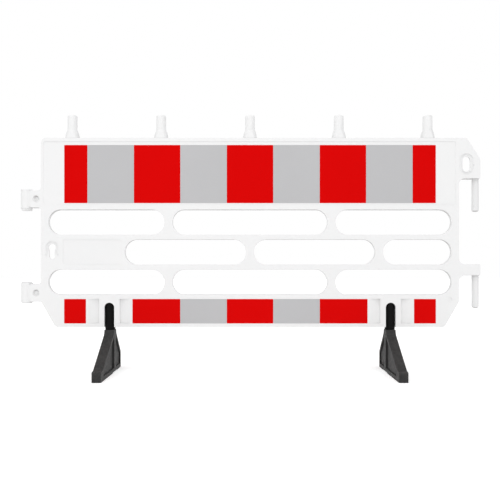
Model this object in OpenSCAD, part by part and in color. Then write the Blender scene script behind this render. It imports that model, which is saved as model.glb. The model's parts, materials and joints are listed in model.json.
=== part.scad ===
// One-panel plastic barricade: a hollow slotted panel on two swivel feet, with lamp spigots on top,
// coupling pins at one end and coupling sleeves at the other, and banded film on both faces.
// X runs along the panel, the front faces -Y, and Z is up from the ground. The origin is under the
// middle of the whole; the feet reach further to the front, so the panel stands a little behind it.

/* [Panel] */
// Length of the panel's body, without the ear, arms and sleeves
panel_len = 1800; // [1500:10:2200]
// Height of the panel's body
panel_h = 815; // [790:5:980]
// Thickness of the panel over both faces
panel_t = 50; // [50:1:60]
// Wall of the hollow half shells
wall = 3.5; // [3:0.5:5]
// Height of the panel's lower edge above the ground
ground_gap = 195; // [190:5:260]
// Width cut off each lower corner
corner_cut = 62; // [30:1:90]
// Radius of the panel's outer corners
corner_r = 20; // [10:1:24]

/* [Slots] */
// Height of every slot
slot_h = 108; // [80:1:110]
// Rail between one row of slots and the next
row_gap = 21; // [16:1:24]
// Post between two slots of a row
slot_gap = 34; // [26:1:50]
// Margin between the panel's end and the nearest slot
slot_margin = 32; // [28:1:40]
// Length of the end slots in the lowest and highest rows
end_slot = 500; // [380:5:560]
// Length of the two middle slots in the second row
mid_slot = 522; // [420:2:560]
// Height of the lower rail, below the lowest row
lower_rail = 140; // [136:1:160]

/* [Film] */
// Distance from the panel's end to the film's end
film_inset = 100; // [60:5:160]
// Border of the top board above its film
border_above = 15; // [6:1:60]
// Border of the top board below its film
border_below = 8; // [6:1:60]
// Height of the film on the lower rail
low_film_h = 105; // [80:1:110]
// Thickness of the film
film_t = 0.6; // [0.4:0.1:1]
// Gap between two neighbouring bands
film_gap = 0.4; // [0.2:0.1:1]
// Depth of the recess that guards the film on the top board
board_recess = 1.5; // [1:0.1:1.5]

/* [Coupling] */
// Diameter of the coupling pins
pin_d = 30; // [24:1:30]
// Distance from the panel's end to the axis of the pins
pin_offset = 77; // [66:1:77]
// Radial play of a coupling pin in the next panel's sleeve
pin_play = 2.1; // [1:0.1:2.5]
// Wall of the coupling sleeves
sleeve_wall = 7.9; // [5:0.1:7.9]
// Length of the coupling pins under their collars
pin_len = 138; // [110:1:145]

/* [Lamp spigots] */
// Diameter of the lamp spigots
spigot_d = 42; // [34:1:48]
// Height of a spigot above its base
spigot_h = 66; // [50:1:80]
// Diameter of a spigot's base
spigot_base_d = 62; // [54:1:64]
// Height of a spigot's base
spigot_base_h = 35; // [25:1:45]
// Distance from the panel's end to the axis of the nearest spigot
spigot_inset = 130; // [80:5:300]

/* [Feet] */
// Distance from the panel's end to a foot's swivel axis
foot_inset = 294; // [280:2:340]
// Reach of a foot in front of the panel's middle
foot_front = 290; // [240:5:340]
// Reach of a foot behind the panel's middle
foot_rear = 150; // [130:5:340]
// Width of a foot at its middle
foot_w = 42; // [42:1:50]
// Height of a foot's front end
toe_h = 40; // [36:1:60]
// Height of a foot's rear end
heel_h = 64; // [40:1:70]
// Diameter of the swivel posts
post_d = 44; // [34:1:44]
// Radial running clearance of a swivel post in the panel
post_play = 0.3; // [0.3:0.05:0.5]
// Gap between the lower edge of the panel and the top of a foot
foot_clear = 12; // [10:1:20]

/* [Hidden] */
$fn = 64;
fit = 0.1;                          // play of a glued or pressed joint inside one body
half_len = panel_len / 2;
half_t = panel_t / 2;
panel_bottom = ground_gap;
panel_top = panel_bottom + panel_h;

// Slot rows, from the lowest up
row_z = [for (i = [0:2]) panel_bottom + lower_rail + i * (slot_h + row_gap)];
rear_reach = 9;                     // how much further each slot end reaches in the rear shell
slot_end = half_len - slot_margin;
inner_end = slot_end - end_slot;
mid_end = slot_gap / 2 + mid_slot;
// Each slot as [left end, right end, bottom]
slots = [
    for (row = [0, 2]) each [
        [-slot_end, -inner_end, row_z[row]],
        [-inner_end + slot_gap, inner_end - slot_gap, row_z[row]],
        [inner_end, slot_end, row_z[row]]
    ],
    [-mid_end, -slot_gap / 2, row_z[1]],
    [slot_gap / 2, mid_end, row_z[1]],
    [mid_end + slot_gap, slot_end, row_z[1]]
];
// Blind label field in the second row, where the row has no slot
label_x = [-(half_len - 95), -(mid_end + 16)];

// Top board and film
flange_h = 16;
board_top = panel_top - flange_h;
board_bottom = row_z[2] + slot_h + 20;
board_ends = [-(half_len - 10), half_len - 15];
film_top = board_top - border_above;
film_bottom = board_bottom + border_below;
low_film_bottom = panel_bottom + 16;
film_len = panel_len - 2 * film_inset;
film_step = film_len / 8;           // seven whole bands and a half one at each end
film_bands = 9;
low_bands = 7;
pocket_half = 100;

// Right ear, right arm and coupling pins
ear_edge = half_len + 92;
pin_x = half_len + pin_offset;
pin_r = pin_d / 2;
ear_bottom = panel_top - 175;
ear_shoulder = panel_top - 92;
ear_top_x = half_len + 34;
arm_bottom = panel_bottom + 223;
arm_h = 48;
arm_fillet = 25;
shank_r = 10;
shank_len = 34;
collar_h = 4;
collar_r = pin_r + 0.5;
pin_tip = 8;                        // chamfered length of the pin's lower end
pin_split = 30;
ear_hole_x = half_len + 32;
ear_hole_r = 15.5;
ear_hole_z = [panel_top - 128, panel_top - 97];
ear_ring = [5.5, 13.5];             // guard groove round the ear's hole, from its edge outwards
ear_ring_depth = 2.5;
hole_lip = 6;                       // thickness of the front lip of the ear's hole and the keyhole
hole_flare = 14;                    // how much wider those two holes are behind the lip

// Left arms, coupling sleeves and their rivets
sleeve_r = pin_r + pin_play + sleeve_wall;
sleeve_x = -(ear_edge + 1 - sleeve_r);
sleeve_arm_end = sleeve_x + sleeve_r - 3;  // the arm's end is hollowed to take the sleeve's side
upper_arm = [panel_top - 300, panel_top - 225];
lower_arm = [panel_bottom + 109, panel_bottom + 186];
sleeve_lip = 8;
tenon_end = -(half_len + 2);
rivet_x = -(half_len + 21);
rivet_r = 15;
rivet_wall = 1.5;                   // the rivet's rim round the dish in each end
rivet_sunk = 0.5;                   // how far its ends lie below the arm's faces
rivet_dish = [8, 7];                // radius of the dish's floor and its depth

// Keyhole beside the label field
key_x = -(half_len - 48);
key_r = [15.5, 11];
key_z = [row_z[1] + 73, row_z[1] + 35];
key_ring = [5, 12];                 // horseshoe groove round the keyhole, from its edge outwards
dimple_r = 4;
dimple_depth = 2;

// Lamp spigots
spigot_pitch = (half_len - spigot_inset) / 2;
spigot_x = [for (i = [-2:2]) i * spigot_pitch];
spigot_top = panel_top + spigot_base_h + spigot_h;
plug_r = 14;
plug_len = 12;

// Swivel posts and feet
foot_x = half_len - foot_inset;
foot_top = panel_bottom - foot_clear;
post_r = post_d / 2;
bore_r = post_r + post_play;
post_top = row_z[0] - 12;
window_r = post_r - 0.8;
window_top = panel_bottom + 105;
socket_wall = 8;
bead_z = window_top + 8;
bead_h = 4;
bead_in = 1.6;                      // how far the retaining bead stands into the socket
groove_play = 0.5;
flute_in = 44;                      // where a flute meets the pad round the post
flute_deep = 48;                    // its deepest line
flute_out = 92;
flute_depth = 11;
flute_z = [panel_bottom + 16, panel_bottom + 121];
tenon_r = 15;
tenon_len = 60;
mid_y = (foot_front - foot_rear) / 2;  // the panel's middle plane
neck_y = post_r + 3;
shoulder_y = neck_y + 8;
shoulder_z = foot_top - 20;
toe_len = 35;                       // level part of a foot's front end
foot_rib = tenon_r + 5;             // half width of the upright rib in the middle of a foot's side
foot_rim = 17;
foot_pocket_depth = 8;
bolt_r = 6;
bolt_well_r = 15;
bolt_well_h = 26;
washer_t = 2.5;
insert_r = 9;
insert_len = 28;
bolt_head_h = 8;

sides = ["left", "right"];
levels = ["upper", "lower"];
faces = ["front", "rear"];

// ---- Shapes that are used again ----

// A polygon's points with each corner rounded; a corner is [x, y, radius]
function unit(v) = v / norm(v);
function corner_arc(a, b, c) =
    let (p = [b[0], b[1]], u = unit([a[0], a[1]] - p), v = unit([c[0], c[1]] - p))
    let (turn = acos(max(-1, min(1, u * v))), centre = p + unit(u + v) * b[2] / sin(turn / 2))
    let (first = p + u * b[2] / tan(turn / 2) - centre, last = p + v * b[2] / tan(turn / 2) - centre)
    let (start = atan2(first[1], first[0]), end = atan2(last[1], last[0]))
    let (sweep = end - start - 360 * round((end - start) / 360), steps = ceil(abs(sweep) / 10))
    [for (i = [0:steps]) centre + b[2] * [cos(start + sweep * i / steps), sin(start + sweep * i / steps)]];
function rounded(corners) = [
    for (i = [0:len(corners) - 1])
        let (n = len(corners))
        each corner_arc(corners[(i + n - 1) % n], corners[i], corners[(i + 1) % n])
];

// Raises an X-Z drawing into a plate from y0 to y1
module plate(y0, y1) {
    translate([0, y1, 0]) rotate([90, 0, 0]) linear_extrude(y1 - y0) children();
}

// A long hole with round ends, grown by g all round
module slot(x0, x1, z0, g = 0) {
    r = slot_h / 2;
    translate([x0 + r, z0 - g]) square([x1 - x0 - 2 * r, slot_h + 2 * g]);
    for (x = [x0 + r, x1 - r]) translate([x, z0 + r]) circle(r + g);
}

// An upright keyhole from the upper circle's centre down to the lower one's, grown by g
module keyhole(x, z, r, g = 0) {
    for (i = [0, 1]) translate([x, z[i]]) circle(r[i] + g);
    translate([x - r[1] - g, z[1]]) square([2 * (r[1] + g), z[0] - z[1]]);
}

module ear_hole(g = 0) {
    keyhole(ear_hole_x, [ear_hole_z[1], ear_hole_z[0]], [ear_hole_r, ear_hole_r], g);
}

// The wide part of the two hanging holes, from y0 to y1
module wide_holes(y0, y1) {
    plate(y0, y1) {
        ear_hole(hole_flare);
        keyhole(key_x, key_z, key_r, hole_flare);
    }
}

// All through holes, grown by g; the slots' ends reach further by e
module all_holes(g = 0, e = 0) {
    for (s = slots) slot(s[0] - e, s[1] + e, s[2], g);
    keyhole(key_x, key_z, key_r, g);
}

// ---- Panel ----

module panel_outline() {
    polygon(rounded([
        [-half_len + corner_cut, panel_bottom, corner_r],
        [half_len - corner_cut, panel_bottom, corner_r],
        [half_len, lower_arm[0], corner_r],
        [half_len, arm_bottom, arm_fillet],
        [ear_edge, arm_bottom, 6],
        [ear_edge, arm_bottom + arm_h, 6],
        [half_len, arm_bottom + arm_h, arm_fillet],
        [half_len, ear_bottom, arm_fillet],
        [ear_edge, ear_bottom, 4],
        [ear_edge, ear_shoulder, 10],
        [ear_top_x, panel_top, 10],
        [-half_len, panel_top, corner_r],
        [-half_len, upper_arm[1], 13],
        [sleeve_arm_end, upper_arm[1], 3],
        [sleeve_arm_end, upper_arm[0], 3],
        [-half_len, upper_arm[0], 13],
        [-half_len, lower_arm[1], 13],
        [sleeve_arm_end, lower_arm[1], 3],
        [sleeve_arm_end, lower_arm[0], 3],
        [-half_len, lower_arm[0], 8]
    ]));
}

// The inside of the body, one wall in from its edge and from every hole
module hollow() {
    difference() {
        polygon(rounded([
            [-half_len + corner_cut + wall, panel_bottom + wall, corner_r - wall],
            [half_len - corner_cut - wall, panel_bottom + wall, corner_r - wall],
            [half_len - wall, lower_arm[0] + wall / 2, corner_r - wall],
            [half_len - wall, panel_top - wall, 5],
            [-half_len + wall, panel_top - wall, corner_r - wall],
            [-half_len + wall, lower_arm[0] + wall / 2, 8]
        ]));
        all_holes(wall, rear_reach);
        keyhole(key_x, key_z, key_r, wall + hole_flare);
    }
}

// Space in the left arms for the sleeves' tenons
module arm_pocket(z) {
    plate(-half_t + wall, 1)
        translate([sleeve_arm_end - 1, z[0] + wall])
            square([tenon_end + 1 - sleeve_arm_end, z[1] - z[0] - 2 * wall]);
}

// The block that holds a swivel post, in the front half of the panel
module socket_block() {
    half = bore_r + socket_wall;
    translate([-half, -half_t, panel_bottom]) cube([2 * half, half_t, row_z[0] - wall / 2 - panel_bottom]);
}

// A flute beside the post: its floor slopes in from the film's end, then steps up to the pad
module flute() {
    translate([0, 0, flute_z[0]]) linear_extrude(flute_z[1] - flute_z[0]) polygon([
        [flute_out, -half_t], [flute_deep, -half_t + flute_depth], [flute_in, -half_t],
        [flute_in, -half_t - 1], [flute_out, -half_t - 1]
    ]);
}

// The wall behind a flute
module flute_back() {
    translate([0, 0, flute_z[0] - wall]) linear_extrude(flute_z[1] - flute_z[0] + 2 * wall) polygon([
        [flute_out + wall, -half_t], [flute_out + wall, -half_t + wall],
        [flute_deep, -half_t + flute_depth + wall], [flute_in - wall, -half_t + flute_depth + wall],
        [flute_in - wall, -half_t]
    ]);
}

module post_cuts() {
    difference() {
        translate([0, 0, panel_bottom - 1]) cylinder(r = bore_r, h = post_top + post_play + 1 - panel_bottom);
        translate([0, 0, bead_z]) difference() {
            cylinder(r = bore_r + 1, h = bead_h);
            cylinder(r = post_r - bead_in, h = bead_h);
        }
    }
    plate(-half_t - 1, 0) {
        translate([-window_r, panel_bottom - 1])
            square([2 * window_r, window_top - window_r + 1 - panel_bottom]);
        translate([0, window_top - window_r]) circle(window_r);
    }
    for (end = [0, 1]) mirror([end, 0, 0]) flute();
}

module surface_cuts() {
    // Guarded board for the film
    plate(-half_t - 1, -half_t + board_recess)
        polygon(rounded([
            [board_ends[0], board_bottom, 6], [board_ends[1], board_bottom, 6],
            [board_ends[1], board_top, 6], [board_ends[0], board_top, 6]
        ]));
    // Blind label field
    plate(-half_t - 1, -half_t + board_recess)
        polygon(rounded([
            [label_x[0], row_z[1], 8], [label_x[1], row_z[1], 8],
            [label_x[1], row_z[1] + slot_h, 8], [label_x[0], row_z[1] + slot_h, 8]
        ]));
    // Guard groove round the ear's hole
    plate(-half_t - 1, -half_t + ear_ring_depth) difference() {
        ear_hole(ear_ring[1]);
        ear_hole(ear_ring[0]);
    }
    // Horseshoe groove round the top of the keyhole
    plate(-half_t - 1, -half_t + ear_ring_depth) difference() {
        keyhole(key_x, key_z, key_r, key_ring[1]);
        keyhole(key_x, key_z, key_r, key_ring[0]);
        translate([key_x - 40, key_z[1] - 46]) square([80, 60]);
    }
    // Dimples beside the keyhole, beside the ear hole and at the lower right corner
    plate(-half_t - 1, -half_t + dimple_depth) {
        for (side = [-1, 1]) {
            translate([key_x + side * 26, key_z[1] + 7]) circle(dimple_r);
            translate([ear_hole_x + side * 29, ear_hole_z[0] + 9]) circle(dimple_r);
        }
        translate([half_len - 40, lower_arm[0] + 9]) circle(2.5 * dimple_r);
    }
}

module fastener_cuts() {
    for (x = spigot_x) translate([x, 0, panel_top - wall - 1]) cylinder(r = plug_r + fit, h = wall + 2);
    for (z = [ear_bottom, arm_bottom])
        translate([pin_x, 0, z - 1]) cylinder(r = shank_r + fit, h = shank_len + fit + 1);
    for (z = [upper_arm, lower_arm]) {
        arm_pocket(z);
        translate([sleeve_x, 0, z[0] - 1]) cylinder(r = sleeve_r + fit, h = z[1] - z[0] + 2);
        translate([rivet_x, 0, (z[0] + z[1]) / 2]) rotate([90, 0, 0])
            cylinder(r = rivet_r + fit, h = half_t + 1);
    }
}

// One half of the panel, drawn as the front half; its slots' ends reach further by e
module panel_half(e = 0) {
    difference() {
        union() {
            difference() {
                plate(-half_t, 0) difference() {
                    panel_outline();
                    all_holes(0, e);
                    ear_hole();
                }
                plate(-half_t + wall, 1) hollow();
            }
            for (side = [-1, 1]) translate([side * foot_x, 0, 0]) {
                socket_block();
                for (end = [0, 1]) mirror([end, 0, 0]) flute_back();
            }
        }
        for (side = [-1, 1]) translate([side * foot_x, 0, 0]) post_cuts();
        surface_cuts();
        fastener_cuts();
    }
}

// The two hanging holes have a lip in front and are wide from there to the rear face
module front_shell() {
    color("white") difference() {
        panel_half();
        wide_holes(-half_t + hole_lip, 1);
    }
}

module rear_shell() {
    color("white") difference() {
        mirror([0, 1, 0]) panel_half(rear_reach);
        wide_holes(-1, half_t + 1);
    }
}

// ---- Lamp spigots ----

module lamp_spigot(i) {
    base_r = spigot_base_d / 2;
    r = spigot_d / 2;
    shoulder = spigot_base_h - 9;
    color("white") translate([spigot_x[i - 1], 0, panel_top]) difference() {
        union() {
            intersection() {
                rotate_extrude() polygon(concat(
                    [[0, 0], [base_r, 0], [base_r, 3], [max(base_r - 5, r + 2), shoulder],
                     [r + 1, spigot_base_h], [r, spigot_base_h + 1.5]],
                    [for (a = [0:10:90])
                        [r - 8 + 8 * cos(a), spigot_base_h + spigot_h - 8 + 8 * sin(a)]],
                    [[0, spigot_base_h + spigot_h]]
                ));
                translate([-base_r, -half_t, 0]) cube([2 * base_r, panel_t, spigot_top]);
            }
            translate([0, 0, -plug_len]) cylinder(r = plug_r, h = plug_len);
        }
        translate([0, 0, -plug_len - 1])
            cylinder(r = plug_r - wall, h = plug_len + spigot_base_h + spigot_h - 11);
    }
}

// ---- Coupling pins and sleeves ----

module coupling_pin(z) {
    color("whitesmoke") translate([pin_x, 0, z]) {
        difference() {
            union() {
                cylinder(r = shank_r, h = shank_len);
                translate([0, 0, -collar_h]) cylinder(r = collar_r, h = collar_h);
                rotate_extrude() polygon(concat(
                    [[0, -collar_h], [pin_r - 1.5, -collar_h], [pin_r - 1.5, -collar_h - 3],
                     [pin_r, -collar_h - 4.5], [pin_r, -collar_h - pin_len + pin_tip]],
                    [for (a = [0:10:80]) [pin_r - pin_tip + pin_tip * cos(a),
                                          -collar_h - pin_len + pin_tip - pin_tip * sin(a)]],
                    [[0, -collar_h - pin_len]]
                ));
            }
            // Split that lets the lower end spring through a sleeve
            translate([-pin_r - 1, -2, -collar_h - pin_len - 1]) cube([pin_d + 2, 4, pin_split + 1]);
        }
    }
}

module coupling_sleeve(arm, lips) {
    mid = (arm[0] + arm[1]) / 2;
    bottom = arm[0] - 4;
    top = arm[1] + 4;
    color("white") difference() {
        union() {
            translate([sleeve_x, 0, bottom]) cylinder(r = sleeve_r, h = top - bottom);
            translate([sleeve_x, 0, bottom - sleeve_lip * lips[0]])
                cylinder(r = sleeve_r - 3, h = top - bottom + sleeve_lip * (lips[0] + lips[1]));
            // Tenon inside the arm
            translate([sleeve_x, -half_t + wall + fit, arm[0] + wall + fit])
                cube([tenon_end - fit - sleeve_x, panel_t - 2 * (wall + fit),
                      arm[1] - arm[0] - 2 * (wall + fit)]);
        }
        translate([sleeve_x, 0, bottom - sleeve_lip - 1])
            cylinder(r = pin_r + pin_play, h = top - bottom + 2 * sleeve_lip + 2);
        translate([rivet_x, 0, mid]) rotate([90, 0, 0])
            cylinder(r = rivet_r + fit, h = panel_t, center = true);
    }
}

module sleeve_rivet(arm) {
    color("whitesmoke") translate([rivet_x, 0, (arm[0] + arm[1]) / 2]) rotate([90, 0, 0])
        difference() {
            cylinder(r = rivet_r, h = panel_t - 2 * rivet_sunk, center = true);
            for (side = [0, 1]) mirror([0, 0, side])
                translate([0, 0, half_t - rivet_sunk - rivet_dish[1]])
                    cylinder(r1 = rivet_dish[0], r2 = rivet_r - rivet_wall, h = rivet_dish[1]);
        }
}

// ---- Feet ----

// The front end of a foot as [reach, height] of the end of its slope, and the same for the rear end
front_slope = [foot_front - toe_len, toe_h + 2];
rear_slope = [foot_rear, heel_h];

// Height of a foot's slope, y away from its middle
function foot_back(y, end) = end[1] + (end[0] - y) * (shoulder_z - end[1]) / (end[0] - shoulder_y);

// The pocket in a foot's side, on the +Y side of the middle rib
module foot_pocket(end, rim) {
    inner = end[0] - rim;
    polygon(rounded([
        [foot_rib, foot_rim, 4], [inner, foot_rim, 4], [inner, foot_back(inner, end) - foot_rim, 4],
        [shoulder_y + 6, foot_back(shoulder_y + 6, end) - foot_rim, 12], [foot_rib, shoulder_z - 8, 3]
    ]));
}

module foot(x) {
    color("#2b2b2b") translate([x, 0, 0]) difference() {
        intersection() {
            // Side view
            translate([-foot_w, 0, 0]) rotate([90, 0, 90]) linear_extrude(2 * foot_w) polygon(rounded([
                [-foot_front, 0, 8], [foot_rear, 0, 8], [rear_slope[0], rear_slope[1], 12],
                [shoulder_y, shoulder_z, 16], [neck_y, foot_top, 4], [-neck_y, foot_top, 4],
                [-shoulder_y, shoulder_z, 16], [-front_slope[0], front_slope[1], 30],
                [-foot_front, toe_h, 12]
            ]));
            // Plan view
            linear_extrude(foot_top + 1) polygon(rounded([
                [foot_w / 2, 0, 60], [foot_w / 2 - 2, foot_rear, 10], [-foot_w / 2 + 2, foot_rear, 10],
                [-foot_w / 2, 0, 60], [-foot_w / 2 + 2, -foot_front, 12], [foot_w / 2 - 2, -foot_front, 12]
            ]));
        }
        // Pockets in both sides, with a rib between them
        for (face = [-1, 1])
            translate([face * foot_w / 2 - foot_pocket_depth, 0, 0]) rotate([90, 0, 90])
                linear_extrude(2 * foot_pocket_depth) {
                    foot_pocket(rear_slope, foot_rim);
                    mirror([1, 0, 0]) foot_pocket(front_slope, foot_rim + 8);
                }
        // Arched clearance under the middle
        translate([-foot_w, 0, -1]) rotate([90, 0, 90]) linear_extrude(2 * foot_w) polygon(rounded([
            [-60, -4, 1], [60, -4, 1], [50, 4, 3], [-50, 4, 3]
        ]));
        translate([0, 0, foot_top - tenon_len - 1]) cylinder(r = tenon_r + fit, h = tenon_len + 2);
        cylinder(r = bolt_r + 0.5, h = foot_top);
        translate([0, 0, -1]) cylinder(r = bolt_well_r, h = bolt_well_h + 1);
    }
}

module swivel_post(x) {
    color("#161616") translate([x, 0, 0]) difference() {
        union() {
            rotate_extrude() polygon([
                [0, foot_top], [post_r - 3, foot_top], [post_r, foot_top + 3],
                [post_r, bead_z - groove_play], [post_r - bead_in - groove_play, bead_z - groove_play],
                [post_r - bead_in - groove_play, bead_z + bead_h + groove_play],
                [post_r, bead_z + bead_h + groove_play], [post_r, post_top - 3],
                [post_r - 3, post_top], [0, post_top]
            ]);
            translate([0, 0, foot_top - tenon_len]) cylinder(r = tenon_r, h = tenon_len);
        }
        translate([0, 0, foot_top - tenon_len - 1]) cylinder(r = insert_r + fit, h = insert_len + 1 + fit);
        translate([0, 0, foot_top - tenon_len - 1]) cylinder(r = bolt_r + 0.5, h = insert_len + 12);
    }
}

module post_insert(x) {
    color("goldenrod") translate([x, 0, foot_top - tenon_len]) difference() {
        cylinder(r = insert_r, h = insert_len);
        translate([0, 0, -1]) cylinder(r = bolt_r + 0.05, h = insert_len + 2);
    }
}

module foot_bolt(x) {
    color("silver") translate([x, 0, bolt_well_h - washer_t]) {
        translate([0, 0, -bolt_head_h]) cylinder(r = 10.8, h = bolt_head_h, $fn = 6);
        cylinder(r = bolt_r, h = foot_top - tenon_len + insert_len + 5 - bolt_well_h + washer_t);
    }
}

module foot_washer(x) {
    color("silver") translate([x, 0, bolt_well_h - washer_t]) difference() {
        cylinder(r = 12.5, h = washer_t);
        translate([0, 0, -1]) cylinder(r = bolt_r + 0.3, h = washer_t + 2);
    }
}

// ---- Film ----

function band_edge(i) = i == 0 ? -film_len / 2 : i == film_bands ? film_len / 2
    : -film_len / 2 + film_step * (i - 0.5);
function is_red(i) = i % 2 == 1;

// Ends and colour of each band on the lower rail, broken where the feet enter
low_ends = [
    [-film_len / 2, -foot_x - pocket_half, true],
    [-foot_x + pocket_half, -1.5 * film_step, true],
    [-1.5 * film_step, -0.5 * film_step, false],
    [-0.5 * film_step, 0.5 * film_step, true],
    [0.5 * film_step, 1.5 * film_step, false],
    [1.5 * film_step, foot_x - pocket_half, true],
    [foot_x + pocket_half, film_len / 2, true]
];

module film(x0, x1, z0, h, y, red) {
    color(red ? "#db0000" : "#c2c2c4") plate(y - film_t, y)
        translate([x0 + film_gap / 2, z0]) square([x1 - x0 - film_gap, h]);
}

module film_top(i) {
    film(band_edge(i - 1), band_edge(i), film_bottom, film_top - film_bottom,
         -half_t + board_recess, is_red(i));
}

module film_low(i) {
    e = low_ends[i - 1];
    film(e[0], e[1], low_film_bottom, low_film_h, -half_t, e[2]);
}

// ---- Assembly ----

translate([0, mid_y, 0]) {
    front_shell();
    rear_shell();
    for (i = [1:len(spigot_x)])
        lamp_spigot(i);
    coupling_pin(ear_bottom);  // coupling_pin_upper
    coupling_pin(arm_bottom);  // coupling_pin_lower
    coupling_sleeve(upper_arm, [1, 0]);  // coupling_sleeve_upper
    coupling_sleeve(lower_arm, [0.4, 0.4]);  // coupling_sleeve_lower
    sleeve_rivet(upper_arm);  // sleeve_rivet_upper
    sleeve_rivet(lower_arm);  // sleeve_rivet_lower
    for (i = [0, 1]) {
        x = foot_x * (2 * i - 1);
        foot(x);
        swivel_post(x);
        foot_bolt(x);
        foot_washer(x);
        post_insert(x);
    }
    for (k = [0, 1]) mirror([0, k, 0]) {
        for (i = [1:film_bands])
            film_top(i);
        for (i = [1:low_bands])
            film_low(i);
    }
}
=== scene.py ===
"""Looks of a one-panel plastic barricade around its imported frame: metres, +Z up, front towards -Y."""

import json
import math

import bmesh
import bpy
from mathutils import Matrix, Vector


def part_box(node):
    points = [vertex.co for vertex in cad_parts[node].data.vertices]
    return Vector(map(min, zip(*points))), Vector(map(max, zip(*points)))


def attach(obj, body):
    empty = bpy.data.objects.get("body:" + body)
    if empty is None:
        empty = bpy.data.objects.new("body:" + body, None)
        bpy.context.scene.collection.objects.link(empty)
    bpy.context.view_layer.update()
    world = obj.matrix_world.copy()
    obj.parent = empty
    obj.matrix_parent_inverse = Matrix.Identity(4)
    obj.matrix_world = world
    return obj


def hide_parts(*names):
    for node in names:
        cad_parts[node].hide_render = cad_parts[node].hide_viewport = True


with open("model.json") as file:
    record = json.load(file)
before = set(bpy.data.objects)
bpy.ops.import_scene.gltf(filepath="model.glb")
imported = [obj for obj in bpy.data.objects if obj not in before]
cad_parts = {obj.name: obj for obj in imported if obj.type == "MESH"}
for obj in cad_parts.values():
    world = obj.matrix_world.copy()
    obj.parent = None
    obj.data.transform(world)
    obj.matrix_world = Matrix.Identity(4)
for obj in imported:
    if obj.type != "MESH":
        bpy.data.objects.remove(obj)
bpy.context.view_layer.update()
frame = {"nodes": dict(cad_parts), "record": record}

MM = 0.001
SPIGOT_LO, SPIGOT_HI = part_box("lamp_spigot_3")  # the spigots' bases are flush with both faces
PANEL_Y = (SPIGOT_LO.y + SPIGOT_HI.y) / 2
HALF_T = (SPIGOT_HI.y - SPIGOT_LO.y) / 2
FOOT_LO, FOOT_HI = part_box("foot_left")
POST_X = [(lo.x + hi.x) / 2 for lo, hi in (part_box("swivel_post_left"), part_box("swivel_post_right"))]
POST_R = (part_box("swivel_post_left")[1].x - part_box("swivel_post_left")[0].x) / 2
NODE_BODY = {n: b for b, ns in frame["record"]["behaviour"]["bodies"].items() for n in ns}
NODE_SLOT = {s["node"]: s["material_slot"] for s in frame["record"]["subparts"]}


# ---- Node helpers ----


class Shader:
    """A material's node tree, with short calls for the nodes used here."""

    def __init__(self, name):
        self.material = bpy.data.materials.new(name)
        self.material.use_nodes = True
        self.tree = self.material.node_tree
        self.shader = self.tree.nodes["Principled BSDF"]
        self.coords = self.tree.nodes.new("ShaderNodeTexCoord").outputs["Object"]

    def node(self, kind, **settings):
        made = self.tree.nodes.new("ShaderNode" + kind)
        for key, value in settings.items():
            setattr(made, key, value)
        return made

    def put(self, socket, value):
        if isinstance(value, bpy.types.NodeSocket):
            self.tree.links.new(value, socket)
        else:
            socket.default_value = value

    def stretch(self, scale):
        made = self.node("Mapping")
        self.put(made.inputs["Vector"], self.coords)
        made.inputs["Scale"].default_value = scale
        return made.outputs["Vector"]

    def noise(self, scale, detail=3.0, roughness=0.5, vector=None, distortion=0.0):
        made = self.node("TexNoise")
        self.put(made.inputs["Vector"], vector or self.coords)
        made.inputs["Scale"].default_value = scale
        made.inputs["Detail"].default_value = detail
        made.inputs["Roughness"].default_value = roughness
        made.inputs["Distortion"].default_value = distortion
        return made.outputs["Fac"]

    def cells(self, scale):
        made = self.node("TexVoronoi")
        self.put(made.inputs["Vector"], self.coords)
        made.inputs["Scale"].default_value = scale
        return made

    def ramp(self, value, low, high, out_low=0.0, out_high=1.0):
        made = self.node("MapRange", clamp=True)
        self.put(made.inputs["Value"], value)
        ends = {"From Min": low, "From Max": high, "To Min": out_low, "To Max": out_high}
        for socket, number in ends.items():
            made.inputs[socket].default_value = number
        return made.outputs["Result"]

    def math(self, operation, a, b=None):
        made = self.node("Math", operation=operation)
        self.put(made.inputs[0], a)
        if b is not None:
            self.put(made.inputs[1], b)
        return made.outputs["Value"]

    def mix(self, share, a, b, blend="MIX"):
        made = self.node("Mix", data_type="RGBA", blend_type=blend)
        self.put(made.inputs["Factor"], share)
        self.put(made.inputs["A"], a)
        self.put(made.inputs["B"], b)
        return made.outputs["Result"]

    def axis(self, name):
        made = self.node("SeparateXYZ")
        self.put(made.inputs[0], self.coords)
        return made.outputs[name]

    def facing(self, name):
        made = self.node("SeparateXYZ")
        self.put(made.inputs[0], self.node("TexCoord").outputs["Normal"])
        return made.outputs[name]

    def bump(self, height, distance, strength=1.0, normal=None):
        made = self.node("Bump")
        self.put(made.inputs["Height"], height)
        made.inputs["Distance"].default_value = distance
        made.inputs["Strength"].default_value = strength
        if normal is not None:
            self.put(made.inputs["Normal"], normal)
        return made.outputs["Normal"]

    def finish(self, colour, roughness, normal=None, **constants):
        self.put(self.shader.inputs["Base Color"], colour)
        self.put(self.shader.inputs["Roughness"], roughness)
        if normal is not None:
            self.put(self.shader.inputs["Normal"], normal)
        for name, value in constants.items():
            self.shader.inputs[name.replace("_", " ")].default_value = value
        return self.material


def grey(value, warmth=0.0):
    return (value * (1 + warmth), value, value * (1 - warmth), 1.0)


# ---- Materials ----


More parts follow.
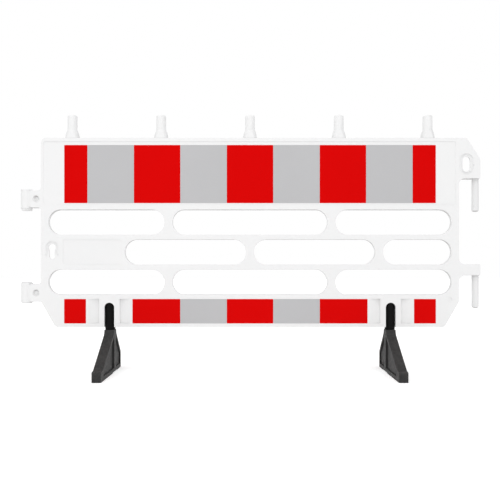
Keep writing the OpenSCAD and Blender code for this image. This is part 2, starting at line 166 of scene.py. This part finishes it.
def moulded_white(name, base, roughness):
    """Satin polyethylene: faint mottling, a fine moulded grain, scuffs, a little dust low down, and
    painted shade on what faces down.
    """
    s = Shader(name)
    mottle = s.ramp(s.noise(3.2, 4.0, 0.55), 0.3, 0.7)
    colour = s.mix(mottle, grey(base * 0.985, -0.004), grey(base, 0.0))
    # Short scuffs, stretched along the panel
    streaks = s.noise(38.0, 6.0, 0.62, s.stretch((0.22, 1.0, 1.6)), 0.6)
    scuffs = s.math("MULTIPLY", s.ramp(streaks, 0.66, 0.74), s.ramp(s.noise(4.5, 2.0), 0.5, 0.62))
    colour = s.mix(s.math("MULTIPLY", scuffs, 0.22), colour, grey(base * 0.62, 0.02))
    # Road dust near the ground
    low_down = s.ramp(s.axis("Z"), 0.36, 0.19)
    dust = s.math("MULTIPLY", low_down, s.ramp(s.noise(26.0, 5.0, 0.7), 0.42, 0.75))
    colour = s.mix(s.math("MULTIPLY", dust, 0.10), colour, grey(base * 0.66, 0.05))
    # Painted shade: faces that point down are darkened in patches, as if in shadow from the light above
    patchy = s.ramp(s.noise(9.0, 5.0, 0.6), 0.1, 0.5, 0.8, 1.0)
    painted_underside_shade = s.math("MULTIPLY", s.ramp(s.facing("Z"), -0.2, -0.8), patchy)
    colour = s.mix(s.math("MULTIPLY", painted_underside_shade, 0.62), colour, grey(base * 0.28, 0.02))
    rough = s.ramp(s.noise(14.0, 5.0, 0.6), 0.3, 0.7, roughness - 0.05, roughness + 0.07)
    rough = s.math("ADD", rough, s.math("MULTIPLY", scuffs, 0.18))
    # Slow sink marks under a fine orange-peel grain
    normal = s.bump(s.noise(7.0, 1.0), 0.004, 0.05)
    normal = s.bump(s.noise(520.0, 2.0, 0.5), 0.0003, 0.35, normal)
    normal = s.bump(scuffs, 0.0004, 0.4, normal)
    return s.finish(colour, rough, normal, Specular_IOR_Level=0.25)


def retro_film(name, base, cell_light):
    """Retroreflective sheeting: hexagonal sealed cells under a clear glossy face."""
    s = Shader(name)
    # Two offset lattices of points give a regular honeycomb of cells
    flat = s.stretch((1.0, 0.0, 1.0 / math.sqrt(3)))
    cells = []
    for shift in ((0.0, 0.0, 0.0), (0.5, 0.0, 0.5)):
        moved = s.node("VectorMath", operation="MULTIPLY_ADD")
        s.put(moved.inputs[0], flat)
        moved.inputs[1].default_value = (CELLS_PER_M,) * 3
        moved.inputs[2].default_value = shift
        part = s.node("VectorMath", operation="FRACTION")
        s.put(part.inputs[0], moved.outputs["Vector"])
        centred = s.node("VectorMath", operation="MULTIPLY_ADD")
        s.put(centred.inputs[0], part.outputs["Vector"])
        centred.inputs[1].default_value = (1.0, 0.0, math.sqrt(3))
        centred.inputs[2].default_value = (-0.5, 0.0, -0.5 * math.sqrt(3))
        length = s.node("VectorMath", operation="LENGTH")
        s.put(length.inputs[0], centred.outputs["Vector"])
        cells.append(length.outputs["Value"])
    # Zero on a wall between two cells, and rising into a cell
    inside = s.math("ABSOLUTE", s.math("SUBTRACT", cells[0], cells[1]))
    wall = s.ramp(inside, 0.03, 0.10, 1.0, 0.0)
    tone = s.ramp(s.noise(2.2, 3.0), 0.3, 0.7, 0.0, 1.0)
    dark = tuple(c * 0.965 for c in base[:3]) + (1.0,)
    colour = s.mix(tone, dark, base)
    colour = s.mix(s.math("MULTIPLY", wall, 0.16), colour, cell_light)
    rough = s.ramp(s.noise(11.0, 5.0, 0.65), 0.3, 0.75, 0.30, 0.42)
    normal = s.bump(wall, 0.0002, 0.25)
    normal = s.bump(s.noise(5.0, 1.0), 0.002, 0.05, normal)
    return s.finish(colour, rough, normal, Specular_IOR_Level=0.03)


def recycled_rubber(name):
    """Moulded recycled rubber: dark granules, a matt skin and grey dust on what faces up."""
    s = Shader(name)
    granules = s.cells(420.0)
    speck = s.ramp(granules.outputs["Color"], 0.2, 0.9, 0.0, 1.0)
    colour = s.mix(speck, grey(0.018, 0.0), grey(0.032, 0.01))
    patches = s.ramp(s.noise(22.0, 5.0, 0.65), 0.4, 0.72)
    colour = s.mix(s.math("MULTIPLY", patches, 0.35), colour, grey(0.055, 0.02))
    upward = s.ramp(s.facing("Z"), 0.25, 0.95)
    up = s.math("MULTIPLY", upward, s.ramp(s.noise(60.0, 6.0, 0.7), 0.35, 0.65))
    colour = s.mix(s.math("MULTIPLY", up, 0.22), colour, grey(0.085, 0.03))
    rough = s.ramp(s.noise(90.0, 4.0), 0.3, 0.7, 0.55, 0.74)
    normal = s.bump(s.noise(260.0, 4.0, 0.6), 0.0008, 0.55)
    normal = s.bump(granules.outputs["Distance"], 0.0005, 0.3, normal)
    return s.finish(colour, rough, normal, Specular_IOR_Level=0.25)


def black_plastic(name):
    """Smooth black plastic with fine turning scratches where it swivels."""
    s = Shader(name)
    rings = s.noise(40.0, 3.0, 0.6, s.stretch((0.4, 0.4, 14.0)))
    colour = s.mix(s.ramp(rings, 0.45, 0.75, 0.0, 0.5), grey(0.003), grey(0.007, 0.01))
    rough = s.ramp(rings, 0.35, 0.7, 0.40, 0.55)
    normal = s.bump(rings, 0.0003, 0.25)
    normal = s.bump(s.noise(420.0, 2.0), 0.0002, 0.25, normal)
    return s.finish(colour, rough, normal, Specular_IOR_Level=0.08)


def plated_metal(name, base, roughness):
    """Plated or turned metal with a fine brushed grain and darker patches."""
    s = Shader(name)
    grain = s.noise(900.0, 3.0, 0.6, s.stretch((1.0, 1.0, 0.06)))
    patches = s.ramp(s.noise(85.0, 4.0, 0.6), 0.35, 0.75)
    dark = tuple(c * 0.66 for c in base[:3]) + (1.0,)
    colour = s.mix(s.math("MULTIPLY", patches, 0.5), base, dark)
    rough = s.ramp(grain, 0.3, 0.7, roughness - 0.06, roughness + 0.1)
    normal = s.bump(grain, 0.0001, 0.3)
    return s.finish(colour, rough, normal, Metallic=1.0)


CELLS_PER_M = 260.0
RED = (0.635, 0.0004, 0.0004, 1.0)
GREY = (0.483, 0.483, 0.492, 1.0)
MATERIALS = {
    "panel_white": moulded_white("moulded_white", 0.80, 0.46),
    "pin_white": moulded_white("pin_white", 0.76, 0.40),
    "film_red": retro_film("red_film", RED, (0.70, 0.004, 0.004, 1.0)),
    "film_grey": retro_film("grey_film", GREY, (0.58, 0.58, 0.59, 1.0)),
    "foot_black": recycled_rubber("recycled_rubber"),
    "post_black": black_plastic("black_plastic"),
    "bolt_steel": plated_metal("zinc_plated_steel", (0.60, 0.60, 0.58, 1.0), 0.34),
    "insert_brass": plated_metal("turned_brass", (0.72, 0.55, 0.26, 1.0), 0.30),
}


# ---- Pieces ----


def piece_from(node, groups, smooth_angle=32.0):
    """A copy of a CAD node whose sharp edges are rounded, which stands for the node.

    groups is a list of (radius, segments, test); an edge goes to the first group whose test it passes.
    """
    source = frame["nodes"][node]
    bm = bmesh.new()
    bm.from_mesh(source.data)
    bmesh.ops.remove_doubles(bm, verts=bm.verts, dist=2e-6)
    bmesh.ops.dissolve_limit(
        bm, angle_limit=math.radians(0.4), verts=bm.verts, edges=bm.edges, delimit={"NORMAL"}
    )
    sharp = [e for e in bm.edges if e.is_manifold and e.calc_face_angle(0.0) > math.radians(28)]
    chosen = [[] for _ in groups]
    for edge in sharp:
        for k, (radius, _, test) in enumerate(groups):
            if test(edge):
                chosen[k].append(edge)
                break
    for (radius, segments, _), edges in zip(groups, chosen):
        live = [e for e in edges if e.is_valid]
        if live and radius > 0:
            bmesh.ops.bevel(
                bm,
                geom=live,
                offset=radius,
                offset_type="OFFSET",
                segments=segments,
                profile=0.5,
                affect="EDGES",
                clamp_overlap=True,
                loop_slide=True,
            )
    mesh = bpy.data.meshes.new(node + "_looks")
    bm.to_mesh(mesh)
    bm.free()
    for polygon in mesh.polygons:
        polygon.use_smooth = True
    mesh.set_sharp_from_angle(angle=math.radians(smooth_angle))
    mesh.materials.clear()
    mesh.materials.append(MATERIALS[NODE_SLOT[node]])
    made = bpy.data.objects.new("look_" + node, mesh)
    bpy.context.scene.collection.objects.link(made)
    weighted = made.modifiers.new("flat_faces_stay_flat", "WEIGHTED_NORMAL")
    weighted.keep_sharp = True
    weighted.weight = 60
    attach(made, NODE_BODY[node])
    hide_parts(node)
    return made


def on_face(edge):
    """The edge lies in the panel's front or rear face."""
    return all(abs(abs(v.co.y - PANEL_Y) - HALF_T) < 2e-5 for v in edge.verts)


def depth_beside(edge):
    """How deep the deepest face beside the edge goes across the panel."""
    return max(max(v.co.y for v in f.verts) - min(v.co.y for v in f.verts) for f in edge.link_faces)


def near_post(edge):
    middle = (edge.verts[0].co + edge.verts[1].co) / 2
    return min(abs(middle.x - x) for x in POST_X) < 0.1 and middle.z < FOOT_HI.z + 0.135


SHELL_EDGES = [
    (0.8 * MM, 2, lambda e: on_face(e) and near_post(e)),
    (0.6 * MM, 2, lambda e: on_face(e) and depth_beside(e) < 4 * MM),
    (4.0 * MM, 5, lambda e: on_face(e) and depth_beside(e) > 12 * MM),
]


def convex(edge):
    return edge.is_convex


def through_film(edge):
    """The edge goes through a sheet's thickness, at one of its four corners."""
    return abs(edge.verts[0].co.y - edge.verts[1].co.y) > 0.4 * MM


def foot_outline(edge):
    """The edge runs along a foot's outer side view: its slopes, its neck or one of its two ends."""
    middle = (edge.verts[0].co + edge.verts[1].co) / 2
    if not edge.is_convex or (middle.z < 12 * MM and abs(middle.y - PANEL_Y) < 75 * MM):
        return False
    slopes = any(f.normal.z > 0.2 for f in edge.link_faces) and middle.z > 34 * MM
    ends = middle.y < FOOT_LO.y + 4 * MM or middle.y > FOOT_HI.y - 4 * MM
    return slopes or ends or middle.z < 3 * MM


for shell in ("front_shell", "rear_shell"):
    piece_from(shell, SHELL_EDGES)
for node in frame["nodes"]:
    if node.startswith("lamp_spigot"):
        piece_from(node, [(1.2 * MM, 3, convex)])
    elif node.startswith("coupling"):
        piece_from(node, [(1.0 * MM, 3, convex)])
    elif node.startswith("sleeve_rivet"):
        piece_from(node, [(0.4 * MM, 2, convex)])
    elif node in ("foot_left", "foot_right"):
        piece_from(node, [(6.0 * MM, 5, foot_outline), (2.0 * MM, 3, convex)])
    elif node.startswith("swivel_post"):
        piece_from(node, [(1.0 * MM, 3, convex)])
    elif node.startswith(("foot_bolt", "foot_washer", "post_insert")):
        piece_from(node, [(0.5 * MM, 2, convex)])
    elif node.startswith("film"):
        piece_from(node, [(2.5 * MM, 4, through_film)])


# ---- Stage, light and camera ----


def area_light(name, place, aim, size, power, colour=(1.0, 1.0, 1.0)):
    data = bpy.data.lights.new(name, "AREA")
    data.shape = "RECTANGLE"
    data.size, data.size_y = size
    data.energy = power
    data.color = colour
    made = bpy.data.objects.new(name, data)
    bpy.context.scene.collection.objects.link(made)
    made.location = place
    made.rotation_euler = (Vector(aim) - Vector(place)).to_track_quat("-Z", "Y").to_euler()


def make_floor():
    mesh = bpy.data.meshes.new("floor")
    reach = 14.0
    corners = [(-reach, -reach, 0), (reach, -reach, 0), (reach, reach, 0), (-reach, reach, 0)]
    mesh.from_pydata(corners, [], [(0, 1, 2, 3)])
    floor = bpy.data.objects.new("floor", mesh)
    bpy.context.scene.collection.objects.link(floor)
    s = Shader("pale_floor")
    glow = {"Emission_Color": (1.0, 1.0, 1.0, 1.0), "Emission_Strength": 0.42}
    mesh.materials.append(s.finish((0.86, 0.86, 0.86, 1.0), 0.85, None, Specular_IOR_Level=0.1, **glow))


def make_world():
    """White behind and above; greyer to both sides, so that the edges there stand out."""
    world = bpy.data.worlds.new("studio")
    world.use_nodes = True
    tree = world.node_tree
    tree.nodes["Background"].inputs["Color"].default_value = (1.0, 1.0, 1.0, 1.0)
    split = tree.nodes.new("ShaderNodeSeparateXYZ")
    tree.links.new(tree.nodes.new("ShaderNodeTexCoord").outputs["Generated"], split.inputs[0])
    side = tree.nodes.new("ShaderNodeMath")
    side.operation = "ABSOLUTE"
    tree.links.new(split.outputs["X"], side.inputs[0])
    fade = tree.nodes.new("ShaderNodeMapRange")
    ends = {"From Min": 0.42, "From Max": 0.95, "To Min": 1.0, "To Max": 0.45}
    for socket, number in ends.items():
        fade.inputs[socket].default_value = number
    tree.links.new(side.outputs["Value"], fade.inputs["Value"])
    tree.links.new(fade.outputs["Result"], tree.nodes["Background"].inputs["Strength"])
    bpy.context.scene.world = world
    area_light("top_softbox", (-0.6, -1.2, 3.6), (0.0, 0.0, 0.5), (3.6, 2.4), 30.0)


def make_camera():
    """Level camera in front of the panel's middle, at the height of its second row of slots."""
    distance, height = 3.05, 0.49
    data = bpy.data.cameras.new("camera")
    data.sensor_width = 36.0
    data.lens = 50.6
    data.shift_y = 0.0172
    camera = bpy.data.objects.new("camera", data)
    camera.location = (0.0, PANEL_Y - distance, height)
    camera.rotation_euler = (math.radians(90), 0.0, 0.0)
    bpy.context.scene.collection.objects.link(camera)
    bpy.context.scene.camera = camera
    bpy.context.scene.view_settings.view_transform = "Standard"


make_floor()
make_world()
make_camera()
